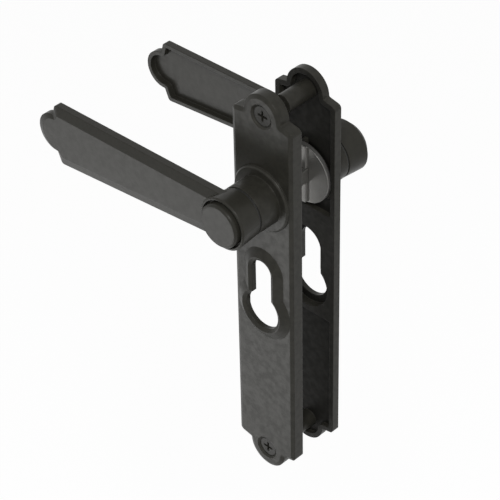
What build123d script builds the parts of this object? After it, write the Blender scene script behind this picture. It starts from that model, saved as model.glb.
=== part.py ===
"""Lever handle set for a thin door: two long backplates, two levers and the spindle that joins them.

The origin is the centre of the round part of the cylinder hole, midway between the two outer faces.
X runs along the plates' width, Y from the inside of the door to the outside, Z up the plates.
The levers point to -X. Sizes are millimetres.
"""
from build123d import *
from math import acos, asin, atan2, cos, degrees, pi, radians, sin, sqrt, tan
import os

# Where the features stand up the plate
screw_spacing = 166.7
lever_above_cylinder = 54.4
top_screw_above_lever = 37.2

# The door and the two plates
door_gap = 18.1
inside_plate_depth = 5.5
outside_plate_depth = 4.2
plate_width = 30.4
plate_wall = 2.2
plate_floor = 2.1
lobe_radius = 9.2
notch_drop = 0.2
shoulder_fall = 1.2
ear_radius = 1.8
notch_radius = 0.8
same_point = 0.01
edge_bevel_width = 1.6
edge_bevel_depth = 0.7

# The cylinder hole and the raised collar round it
cylinder_radius = 8.5
cylinder_slot_width = 10.0
cylinder_height = 33.0
hole_edge_height = 1.3
collar_height = 2.1
collar_spread = 5.3
collar_crest = 1.7
crest_land = 0.3
cylinder_web = 2.1
recess_margin = 3.2
lock_pad_below = 14.3
lock_pad_above = 38.6

# The fixed boss that carries each lever
inside_boss_height = 11.1
outside_boss_height = 9.1
boss_radius = 10.4
boss_foot_radius = 14.0
boss_foot_height = 1.3
boss_foot_chamfer = 0.6
hub_skin = 1.1
hub_pocket_radius = 13.7
spring_pocket_radius = 12.6

# The bearing of each lever
shank_radius = 7.2
running_clearance = 0.05
bushing_wall = 1.45
bushing_flange_radius = 10.0
bushing_flange_thickness = 0.8
end_float = 0.1
washer_radius = 9.2
washer_thickness = 0.5
shoulder_radius = 8.4

# The drive disc at the door end of each shank
disc_radius = 13.2
disc_thickness = 1.8
spring_space = 1.6
key_bar_width = 4.4
key_bar_height = 0.8
lug_width = 2.4
lug_height = 1.2
lug_length = 2.2

# The shank's end inside the lever's hub
shank_flat = 11.8
shank_engagement = 3.4
shank_end_web = 4.0
fit_clearance = 0.05

# The spindle
spindle_size = 6.0
spindle_clearance = 0.1
spindle_end_float = 0.2
spindle_outer_reach = 5.0
spindle_end_chamfer = 0.5
pin_radius = 1.0
pin_inset = 0.4

# The levers
lever_droop = 3.9
hub_root_radius = 10.4
hub_rim_radius = 11.2
hub_height = 10.8
hub_chamfer = 0.5
hub_web = 1.6
screw_cavity_radius = 5.6
cap_recess_radius = 10.1
cap_seat_clearance = 0.25
cap_radius = 9.2
cap_height = 12.9
cap_chamfer = 0.6
cap_spigot_length = 1.5
cap_spigot_wall = 1.0
grip_face_height = 8.5
grip_thickness = 4.1
grip_bevel_depth = 1.1
grip_shoulder = 94.9
grip_root_half = 6.3
grip_tip_half = 9.7
grip_side_bevel = 4.1
grip_end_bevel = 1.9
grip_lobe_radius = 7.4
grip_lobe_growth = 1.1
grip_notch_drop = 0.6
grip_corner_fall = 1.8
grip_corner_radius = 1.6
grip_notch_radius = 0.7
grip_wall = 1.8
grip_floor = 1.6
grip_hollow_start = 15.0

# The return springs and the stops
spring_radius = 10.3
spring_wire = 0.8
spring_side_gap = 0.15
spring_leg_angle = 112.0
spring_turn = 570.0
spring_leg_reach = 12.0
anchor_width = 1.8
anchor_inner_radius = 11.3
lever_travel = 40.0
stop_width = 1.6
stop_inner_radius = 12.2
stop_gap = 0.1
rib_outer_radius = 14.2

# The screws
post_radius = 3.9
post_past_rim = 12.2
screw_shaft_radius = 2.0
screw_head_radius = 4.4
screw_cone_angle = 90.0
screw_length = 23.0
screw_hole_radius = 2.3
countersink_radius = 5.2
screw_boss_radius = 5.6
recess_arm = 4.6
recess_slot = 0.9
recess_depth = 1.5
recess_taper = 8.0
post_hole_depth = 13.4
lever_screw_radius = 2.0
lever_screw_head_radius = 3.8
lever_screw_head_height = 2.2
lever_screw_length = 5.2
lever_screw_key = 3.0
lever_screw_key_depth = 1.4

# Worked out from the sizes above
INSIDE = -1
OUTSIDE = 1
outer_face = (door_gap + inside_plate_depth + outside_plate_depth) / 2
lever_z = lever_above_cylinder
top_screw_z = lever_z + top_screw_above_lever
bottom_screw_z = top_screw_z - screw_spacing
plate_middle_z = (top_screw_z + bottom_screw_z) / 2
half_slot = cylinder_slot_width / 2
slot_top_z = cylinder_height - cylinder_radius - half_slot
bushing_radius = shank_radius + running_clearance + bushing_wall
hub_start = bushing_flange_thickness + end_float
disc_back = plate_floor + spring_space
shank_end = hub_start + shank_engagement
screw_head_top = shank_end + fit_clearance + hub_web + lever_screw_head_height
cap_seat_height = screw_head_top + cap_seat_clearance
disc_face = disc_back + disc_thickness
socket_half = spindle_size / 2 + spindle_clearance
cone_slope = tan(radians(screw_cone_angle / 2))
head_sink = (countersink_radius - screw_head_radius - fit_clearance) / cone_slope
leg_length = sqrt(spring_leg_reach**2 - spring_radius**2)
leg_turn = degrees(acos(spring_radius / spring_leg_reach))
lug_angle = spring_leg_angle - degrees(
    asin((lug_width / 2 + spring_wire / 2 + fit_clearance) / spring_leg_reach)
)
anchor_angle = spring_leg_angle + spring_turn + degrees(
    asin((anchor_width / 2 + spring_wire / 2 + fit_clearance) / spring_leg_reach)
)
plate_depth = {INSIDE: inside_plate_depth, OUTSIDE: outside_plate_depth}
boss_height = {INSIDE: inside_boss_height, OUTSIDE: outside_boss_height}


def side_plane(side, out, up=0.0):
    """Plane parallel to the door, out beyond a plate's outer face, facing away from the door."""
    return Plane(
        origin=(0, side * (outer_face + out), up),
        x_dir=(-side, 0, 0),
        z_dir=(0, side, 0),
    )


def hub_plane(side, out):
    """Plane square to the lever's axis, out beyond a plate's outer face."""
    return side_plane(side, out, lever_z)


def grip_plane(side, out):
    """Plane of a lever's outline: its x runs along the drooping lever, from the axis to the tip."""
    droop = radians(lever_droop)
    return Plane(
        origin=(0, side * (outer_face + boss_height[side] + out), lever_z),
        x_dir=(-cos(droop), 0, -sin(droop)),
        z_dir=(0, side, 0),
    )


def around(side, radius, angle):
    """Point in a hub plane, its angle counted as seen from inside the door."""
    turn = radians(angle)
    return (-side * radius * cos(turn), radius * sin(turn))


def plate_outline(inset=0.0):
    """Plate with a round lobe and two shoulders at each end, drawn about its own middle."""
    half_width = plate_width / 2
    screw = screw_spacing / 2
    notch = screw - notch_drop
    corner = notch - shoulder_fall
    notch_x = sqrt(lobe_radius**2 - notch_drop**2)
    with BuildSketch() as outline:
        with BuildLine():
            Polyline((0, notch), (notch_x, notch), (half_width, corner), (half_width, 0))
            mirror(about=Plane.YZ)
            mirror(about=Plane.XZ)
        make_face()
        with Locations((0, screw), (0, -screw)):
            Circle(lobe_radius)
        ears = outline.vertices().filter_by(lambda v: abs(abs(v.X) - half_width) < same_point and abs(v.Y) > 1)
        fillet(ears, ear_radius)
        notches = outline.vertices().filter_by(
            lambda v: abs(abs(v.X) - notch_x) < same_point and abs(abs(v.Y) - notch) < same_point
        )
        fillet(notches, notch_radius)
        if inset:
            offset(amount=-inset)
    return outline.sketch


def keyhole(spread=0.0):
    """Outline of the cylinder hole, spread outwards: a circle with a narrow round-topped slot above."""
    round_part = cylinder_radius + spread
    slot = half_slot + spread
    join = sqrt(round_part**2 - slot**2)
    with BuildSketch() as outline:
        with BuildLine():
            Line((slot, join), (slot, slot_top_z))
            ThreePointArc((slot, slot_top_z), (0, slot_top_z + slot), (-slot, slot_top_z))
            Line((-slot, slot_top_z), (-slot, join))
            ThreePointArc((-slot, join), (0, -round_part), (slot, join))
        make_face()
    return outline.sketch


def lever_outline(half_root, half_tip, shoulder, lobe):
    """Tapered blade with two shoulders and a round lobe at its tip, along +X from the lever's axis."""
    notch = shoulder - grip_notch_drop
    corner = notch - grip_corner_fall
    notch_y = sqrt(lobe**2 - grip_notch_drop**2)
    with BuildSketch() as outline:
        with BuildLine():
            Polyline((0, 0), (0, half_root), (corner, half_tip), (notch, notch_y), (notch, 0))
            mirror(about=Plane.XZ)
        make_face()
        with Locations((shoulder, 0)):
            Circle(lobe)
        ears = outline.vertices().filter_by(lambda v: v.X > 1 and abs(abs(v.Y) - half_tip) < same_point)
        fillet(ears, grip_corner_radius)
        notches = outline.vertices().filter_by(
            lambda v: abs(v.X - notch) < same_point and abs(abs(v.Y) - notch_y) < same_point
        )
        fillet(notches, grip_notch_radius)
    return outline.sketch


def plate_casting(side):
    """One hollow-backed plate with its cylinder collar and the boss that carries the lever."""
    depth = plate_depth[side]
    boss = boss_height[side]
    rim = -depth
    bevel = degrees(atan2(edge_bevel_width, edge_bevel_depth))
    with BuildPart() as casting:
        with BuildSketch(side_plane(side, rim, plate_middle_z)):
            add(plate_outline())
        extrude(amount=depth - edge_bevel_depth)
        with BuildSketch(side_plane(side, -edge_bevel_depth, plate_middle_z)):
            add(plate_outline())
        extrude(amount=edge_bevel_depth, taper=bevel)

        # Hollow back; the outside plate is left solid where it bears on the lock
        with BuildSketch(side_plane(side, rim, plate_middle_z)):
            add(plate_outline(plate_wall))
            if side == OUTSIDE:
                with Locations((0, (lock_pad_above - lock_pad_below) / 2 - plate_middle_z)):
                    Rectangle(plate_width, lock_pad_above + lock_pad_below, mode=Mode.SUBTRACT)
        extrude(amount=depth - plate_floor, mode=Mode.SUBTRACT)

        # Foot and barrel of the boss
        with BuildSketch(hub_plane(side, -edge_bevel_depth)):
            Circle(boss_foot_radius)
        extrude(amount=edge_bevel_depth + boss_foot_height)
        foot_edge = casting.edges().filter_by(GeomType.CIRCLE).filter_by(
            lambda e: abs(e.radius - boss_foot_radius) < same_point
            and abs(e.arc_center.Y - side * (outer_face + boss_foot_height)) < same_point
        )
        chamfer(foot_edge, boss_foot_chamfer)
        with BuildSketch(hub_plane(side, 0)):
            Circle(boss_radius)
        extrude(amount=boss)
        with BuildSketch(hub_plane(side, rim)):
            Circle(hub_pocket_radius)
        extrude(amount=depth - plate_floor, mode=Mode.SUBTRACT)
        with BuildSketch(hub_plane(side, rim)):
            Circle(spring_pocket_radius)
        extrude(amount=depth - hub_skin, mode=Mode.SUBTRACT)
        with BuildSketch(hub_plane(side, rim)):
            Circle(bushing_radius + fit_clearance)
        extrude(amount=depth + boss, mode=Mode.SUBTRACT)

        # Raised collar, dished behind: it slopes up to a narrow crest and funnels into the cylinder hole
        with BuildSketch(side_plane(side, 0)):
            add(keyhole(collar_spread))
        extrude(
            amount=collar_height,
            taper=degrees(atan2(collar_spread - collar_crest, collar_height)),
        )
        with BuildSketch(side_plane(side, rim)):
            add(keyhole(recess_margin))
        extrude(amount=depth + hole_edge_height - cylinder_web, mode=Mode.SUBTRACT)
        with BuildSketch(side_plane(side, rim)):
            add(keyhole())
        extrude(amount=depth + hole_edge_height, mode=Mode.SUBTRACT)
        with BuildSketch(side_plane(side, hole_edge_height)):
            add(keyhole())
        extrude(
            amount=collar_height - hole_edge_height,
            taper=-degrees(atan2(collar_crest - crest_land, collar_height - hole_edge_height)),
            mode=Mode.SUBTRACT,
        )

        # Ribs that hold the fixed leg of the return spring and stop the lug at each end of its travel
        stop_spread = degrees(
            asin((lug_width / 2 + stop_gap) / stop_inner_radius)
            + atan2(stop_width / 2, stop_inner_radius)
        )
        ribs = (
            (anchor_angle, anchor_width, anchor_inner_radius),
            (lug_angle - stop_spread, stop_width, stop_inner_radius),
            (lug_angle + lever_travel + stop_spread, stop_width, stop_inner_radius),
        )
        for angle, width, inner_radius in ribs:
            with BuildSketch(hub_plane(side, -hub_skin)):
                with Locations(around(side, (inner_radius + rib_outer_radius) / 2, angle)):
                    Rectangle(rib_outer_radius - inner_radius, width, rotation=-side * angle)
            extrude(amount=hub_skin - disc_back + end_float)
    return casting.part


def shank(side):
    """Drive disc, tube and keyed end that turn with one lever."""
    boss = boss_height[side]
    with BuildPart() as turned:
        with BuildSketch(hub_plane(side, -disc_face)):
            Circle(disc_radius)
        extrude(amount=disc_thickness)
        with BuildSketch(hub_plane(side, -disc_face)):
            Circle(disc_radius)
            Rectangle(key_bar_width, 2 * disc_radius, mode=Mode.INTERSECT)
        extrude(amount=-key_bar_height)
        with BuildSketch(hub_plane(side, -disc_back)):
            Circle(shoulder_radius)
        extrude(amount=disc_back - hub_skin - washer_thickness - end_float)
        with BuildSketch(hub_plane(side, -disc_back)):
            Circle(shank_radius)
        extrude(amount=disc_back + boss + hub_start)
        with BuildSketch(hub_plane(side, boss + hub_start)):
            add(keyed_end())
        extrude(amount=shank_engagement)

        # Lug that pushes the free leg of the return spring
        with BuildSketch(hub_plane(side, -disc_back)):
            with Locations(around(side, disc_radius - lug_length / 2, lug_angle)):
                Rectangle(lug_length, lug_width, rotation=-side * lug_angle)
        extrude(amount=lug_height)

        # Square socket for the spindle, and the thread of the lever's screw
        with BuildSketch(hub_plane(side, -disc_face - key_bar_height)):
            Rectangle(2 * socket_half, 2 * socket_half)
        extrude(amount=disc_face + key_bar_height + boss + shank_end - shank_end_web, mode=Mode.SUBTRACT)
        with Locations(hub_plane(side, boss + shank_end)):
            Hole(lever_screw_radius + fit_clearance, shank_end_web)
    return turned.part


def keyed_end(clearance=0.0):
    """Round section with two flats, shared by the shank's end and its socket in the hub."""
    with BuildSketch() as section:
        Circle(shank_radius + clearance)
        flat = shank_flat + 2 * clearance
        Rectangle(flat, 2 * (shank_radius + clearance), mode=Mode.INTERSECT)
    return section.sketch


def bushing(side):
    """Flanged plastic bearing pressed into the boss."""
    boss = boss_height[side]
    with BuildPart() as moulding:
        with BuildSketch(hub_plane(side, -hub_skin)):
            Circle(bushing_radius)
        extrude(amount=hub_skin + boss)
        with BuildSketch(hub_plane(side, boss)):
            Circle(bushing_flange_radius)
        extrude(amount=bushing_flange_thickness)
        with Locations(hub_plane(side, boss + bushing_flange_thickness)):
            Hole(shank_radius + running_clearance)
    return moulding.part


def washer(side):
    """Flat washer between the boss and the shank's shoulder."""
    with BuildPart() as ring:
        with BuildSketch(hub_plane(side, -hub_skin)):
            Circle(washer_radius)
            Circle(shank_radius + running_clearance, mode=Mode.SUBTRACT)
        extrude(amount=-washer_thickness)
    return ring.part


def return_spring(side):
    """Torsion spring round the shank, each end running out straight to the lug or the rib."""
    legs = 2 * leg_turn
    turns = (spring_turn - legs) / 360
    rise = disc_back - hub_skin - spring_wire - 2 * spring_side_gap
    pitch = rise / (turns + leg_length / (pi * spring_radius))
    with BuildPart() as spring:
        with BuildLine() as path:
            coil = Helix(pitch, pitch * turns, spring_radius, lefthand=side == OUTSIDE)
            free_leg = Line(coil @ 0, coil @ 0 - (coil % 0) * leg_length)
            Line(coil @ 1, coil @ 1 + (coil % 1) * leg_length)
        with BuildSketch(Plane(origin=free_leg @ 1, x_dir=(1, 0, 0), z_dir=coil % 0)):
            RegularPolygon(spring_wire / 2, 8)
        sweep(path=path.line)
    start = radians(spring_leg_angle + leg_turn)
    lift = -disc_back + spring_side_gap + spring_wire / 2
    seat = Plane(
        origin=(0, side * (outer_face + lift + leg_length * pitch / (2 * pi * spring_radius)), lever_z),
        x_dir=(cos(start), 0, sin(start)),
        z_dir=(0, side, 0),
    )
    with BuildPart() as placed:
        with Locations(seat):
            add(spring.part)
    return placed.part


def lever_casting(side):
    """Round hub and hollow-backed, drooping grip of one lever."""
    boss = boss_height[side]
    back = grip_face_height - grip_thickness
    knuckle = grip_face_height - grip_bevel_depth
    back_outline = lever_outline(
        grip_root_half + grip_side_bevel,
        grip_tip_half + grip_side_bevel,
        grip_shoulder + grip_end_bevel,
        grip_lobe_radius + grip_lobe_growth,
    )
    face_outline = lever_outline(grip_root_half, grip_tip_half, grip_shoulder, grip_lobe_radius)
    with BuildPart() as casting:
        with Locations(hub_plane(side, boss + hub_start)):
            Cone(
                hub_root_radius,
                hub_rim_radius,
                hub_height - hub_chamfer - hub_start,
                align=(Align.CENTER, Align.CENTER, Align.MIN),
            )
        with Locations(hub_plane(side, boss + hub_height - hub_chamfer)):
            Cone(
                hub_rim_radius,
                hub_rim_radius - hub_chamfer,
                hub_chamfer,
                align=(Align.CENTER, Align.CENTER, Align.MIN),
            )

        # Grip with a straight side wall and a shallow bevel round its face
        with BuildSketch(grip_plane(side, back)):
            add(back_outline)
        extrude(amount=knuckle - back)
        with BuildSketch(grip_plane(side, knuckle)):
            add(back_outline)
        with BuildSketch(grip_plane(side, grip_face_height)):
            add(face_outline)
        loft(ruled=True)

        # Hollow back of the grip
        with BuildSketch(grip_plane(side, back)):
            add(back_outline)
            offset(amount=-grip_wall)
            with Locations((grip_hollow_start, 0)):
                Rectangle(
                    2 * grip_shoulder,
                    4 * grip_tip_half,
                    align=(Align.MIN, Align.CENTER),
                    mode=Mode.INTERSECT,
                )
        extrude(amount=grip_thickness - grip_floor, mode=Mode.SUBTRACT)

        # Keyed socket, screw hole and cap seat, one behind the other along the axis
        with BuildSketch(hub_plane(side, boss + hub_start)):
            add(keyed_end(fit_clearance))
        extrude(amount=shank_engagement + fit_clearance, mode=Mode.SUBTRACT)
        web_face = boss + shank_end + fit_clearance + hub_web
        with BuildSketch(hub_plane(side, web_face)):
            Circle(screw_cavity_radius)
        extrude(amount=hub_height + boss - web_face, mode=Mode.SUBTRACT)
        with BuildSketch(hub_plane(side, boss + cap_seat_height)):
            Circle(cap_recess_radius)
        extrude(amount=hub_height - cap_seat_height, mode=Mode.SUBTRACT)
        with Locations(hub_plane(side, web_face)):
            Hole(lever_screw_radius + 4 * fit_clearance, hub_web + fit_clearance)
    return casting.part


def hub_cap(side):
    """Round cap on the hub, with a ring spigot that clears the lever's screw."""
    boss = boss_height[side]
    spigot_radius = screw_cavity_radius - fit_clearance
    with BuildPart() as cap:
        with BuildSketch(hub_plane(side, boss + cap_seat_height)):
            Circle(cap_radius)
        extrude(amount=cap_height - cap_seat_height)
        rim = cap.edges().filter_by(GeomType.CIRCLE).sort_by(Axis((0, 0, 0), (0, side, 0)))[-1]
        chamfer(rim, cap_chamfer)
        with BuildSketch(hub_plane(side, boss + cap_seat_height)):
            Circle(spigot_radius)
            Circle(spigot_radius - cap_spigot_wall, mode=Mode.SUBTRACT)
        extrude(amount=-cap_spigot_length)
    return cap.part


def lever_screw(side):
    """Screw along the lever's axis that draws the hub onto the shank."""
    head_seat = boss_height[side] + shank_end + fit_clearance + hub_web
    with BuildPart() as screw:
        with BuildSketch(hub_plane(side, head_seat)):
            Circle(lever_screw_head_radius)
        extrude(amount=lever_screw_head_height)
        with BuildSketch(hub_plane(side, head_seat)):
            Circle(lever_screw_radius)
        extrude(amount=-lever_screw_length)
        with BuildSketch(hub_plane(side, head_seat + lever_screw_head_height)):
            RegularPolygon(lever_screw_key / 2, 6, major_radius=False)
        extrude(amount=-lever_screw_key_depth, mode=Mode.SUBTRACT)
    return screw.part


def fixing_screw(up):
    """Countersunk cross-head screw from the inside plate into a post of the outside plate."""
    head = side_plane(INSIDE, -head_sink, up)
    head_height = (screw_head_radius - screw_shaft_radius) / cone_slope
    with BuildPart() as screw:
        with BuildSketch(head):
            Circle(screw_head_radius)
        with BuildSketch(side_plane(INSIDE, -head_sink - head_height, up)):
            Circle(screw_shaft_radius)
        loft()
        with BuildSketch(head):
            Circle(screw_shaft_radius)
        extrude(amount=-screw_length)
        with BuildSketch(head):
            Rectangle(recess_arm, recess_slot)
            Rectangle(recess_slot, recess_arm)
        extrude(amount=-recess_depth, taper=recess_taper, mode=Mode.SUBTRACT)
    return screw.part


# Inside plate: the two countersunk holes stand in thick bosses behind its lobes
with BuildPart() as inside_plate:
    add(plate_casting(INSIDE))
    for screw_z in (top_screw_z, bottom_screw_z):
        with BuildSketch(side_plane(INSIDE, -inside_plate_depth, screw_z)):
            Circle(screw_boss_radius)
        extrude(amount=inside_plate_depth - plate_floor)
        with Locations(side_plane(INSIDE, 0, screw_z)):
            CounterSinkHole(
                screw_hole_radius,
                countersink_radius,
                inside_plate_depth,
                screw_cone_angle,
            )

# Outside plate: two tapped posts reach through the door towards the inside plate
with BuildPart() as outside_plate:
    add(plate_casting(OUTSIDE))
    post_end = -outside_plate_depth - post_past_rim
    for screw_z in (top_screw_z, bottom_screw_z):
        with BuildSketch(side_plane(OUTSIDE, -plate_floor, screw_z)):
            Circle(post_radius)
        extrude(amount=post_end + plate_floor)
        with BuildSketch(side_plane(OUTSIDE, post_end, screw_z)):
            Circle(screw_shaft_radius + fit_clearance)
        extrude(amount=post_hole_depth, mode=Mode.SUBTRACT)

with BuildPart() as upper_screw:
    add(fixing_screw(top_screw_z))
with BuildPart() as lower_screw:
    add(fixing_screw(bottom_screw_z))

with BuildPart() as inside_bushing:
    add(bushing(INSIDE))
with BuildPart() as outside_bushing:
    add(bushing(OUTSIDE))
with BuildPart() as inside_washer:
    add(washer(INSIDE))
with BuildPart() as outside_washer:
    add(washer(OUTSIDE))
with BuildPart() as inside_spring:
    add(return_spring(INSIDE))
with BuildPart() as outside_spring:
    add(return_spring(OUTSIDE))

with BuildPart() as inside_lever:
    add(lever_casting(INSIDE))
with BuildPart() as outside_lever:
    add(lever_casting(OUTSIDE))
with BuildPart() as inside_hub_cap:
    add(hub_cap(INSIDE))
with BuildPart() as outside_hub_cap:
    add(hub_cap(OUTSIDE))
with BuildPart() as inside_lever_screw:
    add(lever_screw(INSIDE))
with BuildPart() as outside_lever_screw:
    add(lever_screw(OUTSIDE))

# Inside shank: a cross pin holds the spindle in its socket
pin_plane = Plane(
    origin=(0, -outer_face - inside_boss_height / 2, lever_z),
    z_dir=(1, 0, 0),
)
with BuildPart() as inside_shank:
    add(shank(INSIDE))
    with BuildSketch(pin_plane):
        Circle(pin_radius + fit_clearance)
    extrude(amount=2 * shank_radius, both=True, mode=Mode.SUBTRACT)
with BuildPart() as outside_shank:
    add(shank(OUTSIDE))

# Spindle: square bar pinned inside, free to slide in the outside shank
spindle_inner = outer_face + inside_boss_height + shank_end - shank_end_web - spindle_end_float
with BuildPart() as spindle:
    with BuildSketch(Plane.XZ.offset(spindle_inner)):
        with Locations((0, lever_z)):
            Rectangle(spindle_size, spindle_size)
    extrude(amount=-spindle_inner - outer_face - spindle_outer_reach)
    chamfer(spindle.edges().filter_by(Axis.Y, reverse=True), spindle_end_chamfer)
    with BuildSketch(pin_plane):
        Circle(pin_radius + fit_clearance)
    extrude(amount=spindle_size, both=True, mode=Mode.SUBTRACT)

with BuildPart() as spindle_pin:
    with BuildSketch(pin_plane):
        Circle(pin_radius)
    extrude(amount=shank_radius - pin_inset, both=True)

os.makedirs("parts", exist_ok=True)

inside_plate.part.label = "inside_plate"
outside_plate.part.label = "outside_plate"
upper_screw.part.label = "upper_screw"
lower_screw.part.label = "lower_screw"
inside_bushing.part.label = "inside_bushing"
outside_bushing.part.label = "outside_bushing"
inside_washer.part.label = "inside_washer"
outside_washer.part.label = "outside_washer"
inside_spring.part.label = "inside_spring"
outside_spring.part.label = "outside_spring"
inside_lever.part.label = "inside_lever"
outside_lever.part.label = "outside_lever"
inside_hub_cap.part.label = "inside_hub_cap"
outside_hub_cap.part.label = "outside_hub_cap"
inside_lever_screw.part.label = "inside_lever_screw"
outside_lever_screw.part.label = "outside_lever_screw"
inside_shank.part.label = "inside_shank"
outside_shank.part.label = "outside_shank"
spindle.part.label = "spindle"
spindle_pin.part.label = "spindle_pin"

export_step(inside_plate.part, "parts/inside_plate.step")
export_step(outside_plate.part, "parts/outside_plate.step")
export_step(upper_screw.part, "parts/upper_screw.step")
export_step(lower_screw.part, "parts/lower_screw.step")
export_step(inside_bushing.part, "parts/inside_bushing.step")
export_step(outside_bushing.part, "parts/outside_bushing.step")
export_step(inside_washer.part, "parts/inside_washer.step")
export_step(outside_washer.part, "parts/outside_washer.step")
export_step(inside_spring.part, "parts/inside_spring.step")
export_step(outside_spring.part, "parts/outside_spring.step")
export_step(inside_lever.part, "parts/inside_lever.step")
export_step(outside_lever.part, "parts/outside_lever.step")
export_step(inside_hub_cap.part, "parts/inside_hub_cap.step")
export_step(outside_hub_cap.part, "parts/outside_hub_cap.step")
export_step(inside_lever_screw.part, "parts/inside_lever_screw.step")
export_step(outside_lever_screw.part, "parts/outside_lever_screw.step")
export_step(inside_shank.part, "parts/inside_shank.step")
export_step(outside_shank.part, "parts/outside_shank.step")
export_step(spindle.part, "parts/spindle.step")
export_step(spindle_pin.part, "parts/spindle_pin.step")
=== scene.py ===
import bpy
from math import cos, radians, sin
from mathutils import Matrix, Vector


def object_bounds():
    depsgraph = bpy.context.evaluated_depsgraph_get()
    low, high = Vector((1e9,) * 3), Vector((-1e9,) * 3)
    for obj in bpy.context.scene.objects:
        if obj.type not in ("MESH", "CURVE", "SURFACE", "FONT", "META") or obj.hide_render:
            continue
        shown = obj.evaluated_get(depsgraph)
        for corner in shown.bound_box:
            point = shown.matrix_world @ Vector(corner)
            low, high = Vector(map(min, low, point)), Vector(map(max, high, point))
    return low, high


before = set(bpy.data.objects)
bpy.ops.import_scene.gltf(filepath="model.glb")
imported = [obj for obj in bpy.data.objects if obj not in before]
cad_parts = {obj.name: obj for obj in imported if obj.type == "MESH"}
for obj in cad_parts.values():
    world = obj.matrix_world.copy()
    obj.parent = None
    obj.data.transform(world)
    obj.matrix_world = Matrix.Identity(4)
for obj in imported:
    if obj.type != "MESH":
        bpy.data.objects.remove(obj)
cad_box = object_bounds()

# The set is seen from the inside of the door, above and to the right of the plates, with a long lens.
# The camera stands 0.9 m from the middle of the set. Its angles and place are fitted to the set's outline.
heading = radians(43.44)
height = radians(39.34)
roll = radians(-0.53)
towards = Vector((sin(heading) * cos(height), -cos(heading) * cos(height), sin(height)))
level = Vector((cos(heading), sin(heading), 0))
upward = towards.cross(level)
right = level * cos(roll) + upward * sin(roll)
up = upward * cos(roll) - level * sin(roll)
stand = Matrix.Translation((0.4634, -0.4893, 0.5606))
camera = bpy.data.objects.new("camera", bpy.data.cameras.new("camera"))
bpy.context.scene.collection.objects.link(camera)
camera.matrix_world = stand @ Matrix((right, up, towards)).transposed().to_4x4()
camera.data.lens = 159.57
camera.data.shift_x = -0.0771
camera.data.shift_y = 0.0518
camera.data.clip_start = 0.01
bpy.context.scene.camera = camera
bpy.context.scene.view_settings.view_transform = "Standard"


# Floor and backdrop: one wide sheet of white paper, well below the set, which hangs clear of it.
# The paper is seen as plain white, also in the coat's reflections. A share of its own light stays, so that
# it keeps the set's shadow, which is faint and soft at that distance.
def linear(hex_colour):
    """The scene's linear colour of an sRGB hex value."""
    parts = [int(hex_colour[i:i + 2], 16) / 255 for i in (0, 2, 4)]
    return [c / 12.92 if c <= 0.04045 else ((c + 0.055) / 1.055) ** 2.4 for c in parts] + [1]


def add_node(tree, kind, inputs=None, **settings):
    """Adds one node with its settings. Each of its inputs follows another node's socket or holds a value."""
    node = tree.nodes.new(kind)
    for name, value in settings.items():
        setattr(node, name, value)
    for name, source in (inputs or {}).items():
        if isinstance(source, bpy.types.NodeSocket):
            tree.links.new(source, node.inputs[name])
        else:
            node.inputs[name].default_value = source
    return node


def seen_directly(tree):
    """One for what the camera sees, also mirrored or through glass, and nothing for light on the set."""
    rays = add_node(tree, "ShaderNodeLightPath")
    seen = add_node(tree, "ShaderNodeMath", {
        0: rays.outputs["Is Camera Ray"], 1: rays.outputs["Is Glossy Ray"]})
    seen = add_node(tree, "ShaderNodeMath", {
        0: seen.outputs[0], 1: rays.outputs["Is Transmission Ray"]}, use_clamp=True)
    return seen.outputs[0]


paper_drop = 0.6
plain_white_share = 0.85
bpy.ops.object.select_all(action="DESELECT")
bpy.ops.mesh.primitive_plane_add(size=8, location=(0, 0, cad_box[0][2] - paper_drop))
paper = bpy.context.object
paper.name = "paper_floor"
white = bpy.data.materials.new("white_paper")
white.use_nodes = True
tree = white.node_tree
tree.nodes.clear()
plain = add_node(tree, "ShaderNodeMapRange", {"Value": seen_directly(tree), "To Max": plain_white_share})
matt = add_node(tree, "ShaderNodeBsdfDiffuse", {"Color": linear("f4f4f4")})
lit = add_node(tree, "ShaderNodeEmission", {"Color": linear("ffffff"), "Strength": 1.1})
both = add_node(tree, "ShaderNodeMixShader", {0: plain.outputs[0], 1: matt.outputs[0], 2: lit.outputs[0]})
add_node(tree, "ShaderNodeOutputMaterial", {"Surface": both.outputs[0]})
paper.data.materials.append(white)

# Studio light: a dim room, which is seen as white like the paper, and two square softboxes.
# One stands low in front on the left, where the front faces mirror it, so those are the light ones.
# The other stands above the camera. It draws the thin bright lines on the rounded edges.
room_light = 0.22
room = bpy.data.worlds.new("dim_room")
bpy.context.scene.world = room
room.use_nodes = True
tree = room.node_tree
background = tree.nodes["Background"]
strength = add_node(tree, "ShaderNodeMapRange", {"Value": seen_directly(tree), "To Min": room_light})
background.inputs["Color"].default_value = linear("ffffff")
tree.links.new(strength.outputs[0], background.inputs["Strength"])


def softbox(name, place, size, power):
    """A square soft lamp that faces the middle of the set."""
    lamp = bpy.data.lights.new(name, "AREA")
    lamp.size = size
    lamp.energy = power
    box = bpy.data.objects.new(name, lamp)
    bpy.context.scene.collection.objects.link(box)
    box.location = place
    box.rotation_euler = (-Vector(place)).to_track_quat("-Z", "Y").to_euler()
    box.visible_camera = False


softbox("front_softbox", (-0.47, -0.50, -0.55), 0.5, 1.6)
softbox("key_softbox", (0.75, -0.75, 1.15), 0.4, 14)

# Plates: zinc die castings with a satin black powder coat, baked on after the casting is blasted.
# The coat is thick: it rounds the edges, has a fine orange peel, and shines unevenly in small patches.
# In the hollow backs the coat's colour is darkened with painted shade, the deeper the darker, and the coat
# is duller there.
relief_depth = 0.00002


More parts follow.
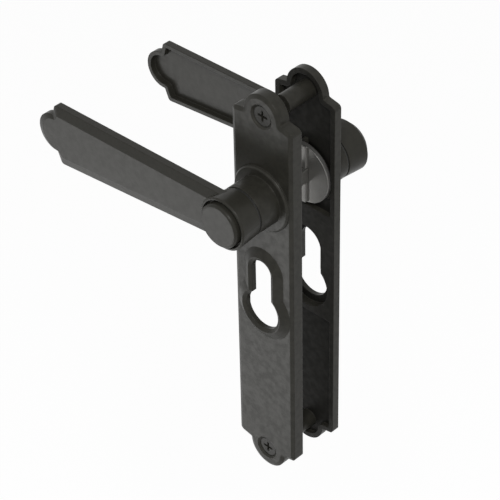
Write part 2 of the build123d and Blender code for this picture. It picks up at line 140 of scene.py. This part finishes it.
def powder_coat(name, colour, roughness, peel, mottle=0.08, rounding=0.0005, hollow=1.0):
    """Satin powder coat with an orange peel about 1 mm wide and patches about 2.5 mm wide.

    Mottle is how far the tone varies, and rounding is the radius of the edges in metres.
    The deeper a face that looks to the door lies, the duller it is and the darker its colour with painted
    shade, down to the hollow share of its tone.
    """
    patches_per_metre = 400.0
    lumps_per_metre = 900.0
    # Depths at which the painted shade and the dulling of the hollow backs begin and end.
    shade_and_dulling_starts = -0.002
    shade_and_dulling_ends = -0.012
    dulling = 0.5
    shine_mottle = mottle / 3
    coat = bpy.data.materials.new(name)
    coat.use_nodes = True
    tree = coat.node_tree
    shader = tree.nodes["Principled BSDF"]
    shader.inputs["Specular IOR Level"].default_value = 0.15
    place = add_node(tree, "ShaderNodeTexCoord")
    depth = add_node(tree, "ShaderNodeSeparateXYZ", {"Vector": place.outputs["Object"]})
    facing = add_node(tree, "ShaderNodeSeparateXYZ", {"Vector": place.outputs["Normal"]})
    doorward = add_node(tree, "ShaderNodeMath", {
        0: depth.outputs["Y"], 1: facing.outputs["Y"]}, operation="MULTIPLY")
    # Painted shade: deep faces that look to the door get a darker colour, standing in for the shade in the
    # hollow backs; the same share makes them rougher.
    painted_shade_and_dulling = add_node(tree, "ShaderNodeMapRange", {
        "Value": doorward.outputs[0], "From Min": shade_and_dulling_starts, "From Max": shade_and_dulling_ends,
        "To Min": 1.0, "To Max": hollow})
    patches = add_node(tree, "ShaderNodeTexNoise", {
        "Vector": place.outputs["Object"], "Scale": patches_per_metre, "Detail": 5.0})
    patch_range = {"Value": patches.outputs["Fac"], "From Min": 0.35, "From Max": 0.65}
    shade = add_node(tree, "ShaderNodeMapRange", {
        **patch_range, "To Min": 1 - mottle, "To Max": 1 + mottle})
    # The tone is the random mottle times the painted shade of the hollows.
    tone = add_node(tree, "ShaderNodeMath", {
        0: shade.outputs[0], 1: painted_shade_and_dulling.outputs[0]}, operation="MULTIPLY")
    tint = add_node(tree, "ShaderNodeMix", data_type="RGBA", clamp_factor=False, inputs={
        "Factor": tone.outputs[0], "A": (0, 0, 0, 1), "B": linear(colour)})
    tree.links.new(tint.outputs["Result"], shader.inputs["Base Color"])
    gloss = add_node(tree, "ShaderNodeMapRange", {
        **patch_range, "To Min": roughness + shine_mottle, "To Max": roughness - shine_mottle})
    bare = add_node(tree, "ShaderNodeMath", {0: 1.0, 1: painted_shade_and_dulling.outputs[0]}, operation="SUBTRACT")
    dull = add_node(tree, "ShaderNodeMath", {
        0: bare.outputs[0], 1: dulling, 2: gloss.outputs[0]}, operation="MULTIPLY_ADD")
    tree.links.new(dull.outputs[0], shader.inputs["Roughness"])
    edge = add_node(tree, "ShaderNodeBevel", {"Radius": rounding}, samples=6)
    lumps = add_node(tree, "ShaderNodeTexNoise", {
        "Vector": place.outputs["Object"], "Scale": lumps_per_metre, "Detail": 1.0})
    bump = add_node(tree, "ShaderNodeBump", {
        "Height": lumps.outputs["Fac"], "Normal": edge.outputs[0],
        "Strength": peel, "Distance": relief_depth})
    tree.links.new(bump.outputs["Normal"], shader.inputs["Normal"])
    return coat


def dress(material, *pieces):
    """Gives the named pieces their material."""
    for piece in pieces:
        bpy.data.objects[piece].material_slots[0].material = material


# The plates' hollow backs are darkened with painted shade, down to 0.3 of their tone.
plate_coat = powder_coat("black_powder_coat_plate", "302f2a", 0.36, 0.6, mottle=0.16, hollow=0.3)
dress(plate_coat, "inside_plate", "outside_plate")

# Levers: zinc die castings with the same black powder coat as the plates, a shade smoother on their faces.
# Their hollow backs are shallow and open, so they get no painted shade and the coat is the same there.
lever_coat = powder_coat("black_powder_coat_lever", "302f2a", 0.35, 0.4)
dress(lever_coat, "inside_lever", "outside_lever")

# Hub caps: small zinc discs pressed into the levers, sprayed black and a little glossier than the castings.
# The paint gathers at their rims, which look rounder than the edges round them.
cap_coat = powder_coat("black_enamel_cap", "2f2e29", 0.34, 0.3, rounding=0.0011)
dress(cap_coat, "inside_hub_cap", "outside_hub_cap")

# Fixing screws: cold-headed steel, black zinc plated, with a cross recess.
# The plating is thin and a little glossy, darker than the coat round it.
black_zinc = powder_coat("black_zinc_plated_steel", "282723", 0.38, 0.2)
dress(black_zinc, "upper_screw", "lower_screw")

# Bushings: moulded black nylon bearings between each boss and its lever, seen only as a thin dark line.
# The mould gives them an even, fine grain with hardly any shine.
nylon_grains_per_metre = 2500.0
nylon = bpy.data.materials.new("black_moulded_nylon")
nylon.use_nodes = True
tree = nylon.node_tree
shader = tree.nodes["Principled BSDF"]
shader.inputs["Base Color"].default_value = linear("1b1b1a")
shader.inputs["Roughness"].default_value = 0.55
place = add_node(tree, "ShaderNodeTexCoord")
grain = add_node(tree, "ShaderNodeTexNoise", {
    "Vector": place.outputs["Object"], "Scale": nylon_grains_per_metre})
bump = add_node(tree, "ShaderNodeBump", {
    "Height": grain.outputs["Fac"], "Strength": 0.2, "Distance": relief_depth})
tree.links.new(bump.outputs["Normal"], shader.inputs["Normal"])
dress(nylon, "inside_bushing", "outside_bushing")


# Shanks: uncoated zinc castings, pressed into the hubs and ending in the drive discs behind the bosses.
# They are dull grey, with a frosted skin from the die and darker cloudy patches.
def bare_metal(name, pale, dark, roughness, patches_per_metre, grains_per_metre):
    """Metal whose tone drifts between two greys in patches, with a fine cast or drawn grain."""
    edge_radius = 0.0003
    metal = bpy.data.materials.new(name)
    metal.use_nodes = True
    tree = metal.node_tree
    shader = tree.nodes["Principled BSDF"]
    shader.inputs["Metallic"].default_value = 1.0
    shader.inputs["Roughness"].default_value = roughness
    place = add_node(tree, "ShaderNodeTexCoord")
    cloud = add_node(tree, "ShaderNodeTexNoise", {
        "Vector": place.outputs["Object"], "Scale": patches_per_metre, "Detail": 3.0})
    tone = add_node(tree, "ShaderNodeMix", data_type="RGBA", inputs={
        "Factor": cloud.outputs["Fac"], "A": linear(pale), "B": linear(dark)})
    tree.links.new(tone.outputs["Result"], shader.inputs["Base Color"])
    grain = add_node(tree, "ShaderNodeTexNoise", {
        "Vector": place.outputs["Object"], "Scale": grains_per_metre})
    edge = add_node(tree, "ShaderNodeBevel", {"Radius": edge_radius}, samples=6)
    bump = add_node(tree, "ShaderNodeBump", {
        "Height": grain.outputs["Fac"], "Normal": edge.outputs[0],
        "Strength": 0.3, "Distance": relief_depth})
    tree.links.new(bump.outputs["Normal"], shader.inputs["Normal"])
    return metal


raw_zinc = bare_metal("uncoated_zinc_casting", "9b9a97", "82817e", 0.5, 150.0, 1600.0)
dress(raw_zinc, "inside_shank", "outside_shank")

# Spindle, pin, washers and lever screws: drawn, stamped or turned steel with a bright zinc plating.
# The plating is pale grey and satin, over the fine grain of the steel.
plated = bare_metal("zinc_plated_steel", "8c8b88", "7a7976", 0.4, 200.0, 1200.0)
dress(plated, "spindle", "spindle_pin")
dress(plated, "inside_washer", "outside_washer", "inside_lever_screw", "outside_lever_screw")

# Return springs: drawn spring steel wire, wound cold, oiled and left bare.
# The oil leaves them dark grey with a soft shine.
spring_wire = bare_metal("oiled_spring_steel", "5c5b59", "4a4947", 0.35, 400.0, 3000.0)
dress(spring_wire, "inside_spring", "outside_spring")
